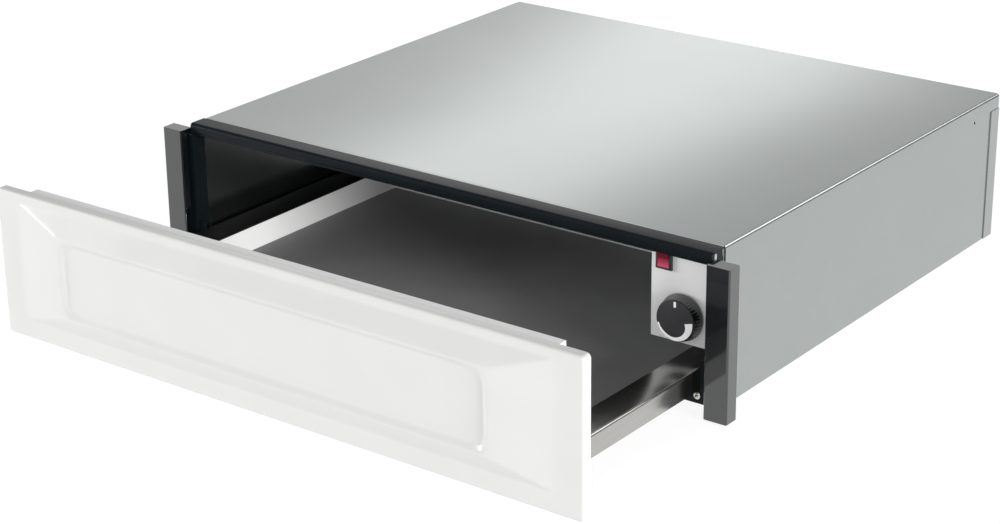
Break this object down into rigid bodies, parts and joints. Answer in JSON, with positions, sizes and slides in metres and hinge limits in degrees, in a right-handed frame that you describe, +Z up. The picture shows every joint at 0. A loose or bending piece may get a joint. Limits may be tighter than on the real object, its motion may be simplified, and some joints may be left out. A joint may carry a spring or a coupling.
{
  "type": "warming drawer",
  "caption": "Built-in warming drawer: sheet steel housing with a black front frame and a pull-out heated tray behind a bevelled white front, with thermostat knob and switch inside.",
  "frame": {"origin": "middle of the underside of the housing, half way between the front plane of the posts and the rear face", "axes": "+X to the right seen from the front, +Y from front to rear, +Z up; the drawer slides out along -Y"},
  "size_m": [0.597, 0.7051, 0.137],
  "materials": {
    "white_enamel": "gloss vitreous enamel",
    "grey_paint": "satin powder coat",
    "galvanised_steel": "hot-dip galvanised, fine spangle",
    "black_steel": "semi-gloss black powder coat",
    "gloss_black": "high gloss",
    "zinc_plated": "bright zinc",
    "polished_stainless": "polished",
    "mat_rubber": "matte, fine texture",
    "silver_plate": "satin silver",
    "black_plastic": "satin",
    "white_mark": "satin",
    "red_lens": "gloss, translucent red",
    "white_plastic": "satin",
    "copper": "bare copper",
    "brass": "bare brass",
    "aluminium": "mill finish",
    "motor_steel": "laminated electrical steel"
  },
  "bodies": {
    "housing": {"base_plate": "galvanised_steel", "side_panel_right": "galvanised_steel", "side_panel_left": "galvanised_steel", "top_cover": "galvanised_steel", "rear_panel": "galvanised_steel", "collar_top": "black_steel", "collar_side_right": "black_steel", "collar_side_left": "black_steel", "post_right": "gloss_black", "post_left": "gloss_black", "slide_support_right": "galvanised_steel", "slide_support_left": "galvanised_steel", "corner_bracket_right": "black_steel", "corner_bracket_left": "black_steel", "slide_outer_right": "zinc_plated", "slide_outer_left": "zinc_plated", "control_plate": "silver_plate", "control_box": "galvanised_steel", "thermostat_body": "white_plastic", "thermostat_nut": "zinc_plated", "switch_body": "black_plastic", "sensor_bulb": "polished_stainless", "bulb_clip": "galvanised_steel", "capillary_tube": "copper", "air_baffle": "galvanised_steel", "fan_stator": "motor_steel", "fan_coil": "copper", "fan_bridges": "zinc_plated", "motor_pillars": "zinc_plated", "heater_element": "polished_stainless", "overheat_cutout": "white_plastic", "terminal_block": "white_plastic", "terminal_screws": "brass", "cable_gland": "black_plastic", "latch_body": "black_plastic", "post_screws": "zinc_plated", "bracket_screws": "zinc_plated", "rear_screws": "zinc_plated", "cover_screws": "zinc_plated"},
    "drawer": {"front_panel": "white_enamel", "front_liner": "grey_paint", "drawer_tray": "polished_stainless", "drawer_mat": "mat_rubber", "slide_inner_right": "zinc_plated", "slide_inner_left": "zinc_plated", "front_screws": "zinc_plated"},
    "slide_middles": {"slide_middle_right": "zinc_plated", "slide_middle_left": "zinc_plated"},
    "knob": {"thermostat_knob": "black_plastic", "thermostat_shaft": "polished_stainless", "knob_marks": "white_mark"},
    "rocker": {"switch_rocker": "red_lens"},
    "fan": {"fan_wheel": "aluminium", "fan_rotor": "motor_steel"},
    "plunger": {"latch_plunger": "white_plastic"}
  },
  "joints": [
    {"name": "drawer_slide", "type": "slide", "parent": "housing", "child": "drawer", "axis": [0, -1, 0], "range_m": [-0.185, 0.215]},
    {"name": "middle_slide", "type": "slide", "parent": "housing", "child": "slide_middles", "axis": [0, -1, 0], "range_m": [-0.0925, 0.1075]},
    {"name": "knob_turn", "type": "hinge", "parent": "housing", "child": "knob", "pos_m": [0.24, -0.2387, 0.0732], "axis": [0, -1, 0], "range_deg": [-270, 0]},
    {"name": "rocker_tilt", "type": "hinge", "parent": "housing", "child": "rocker", "pos_m": [0.222, -0.225, 0.1193], "axis": [1, 0, 0], "range_deg": [-24, 0]},
    {"name": "fan_spin", "type": "hinge", "parent": "housing", "child": "fan", "pos_m": [0, 0.2072, 0.0685], "axis": [0, 1, 0], "continuous": true},
    {"name": "plunger_press", "type": "slide", "parent": "housing", "child": "plunger", "axis": [0, 1, 0], "range_m": [0, 0.004], "stiffness_N_per_m": 300, "springref_m": -0.003}
  ],
  "couplings": [
    {"joint": "middle_slide", "follows": "drawer_slide", "ratio": 0.5}
  ]
}
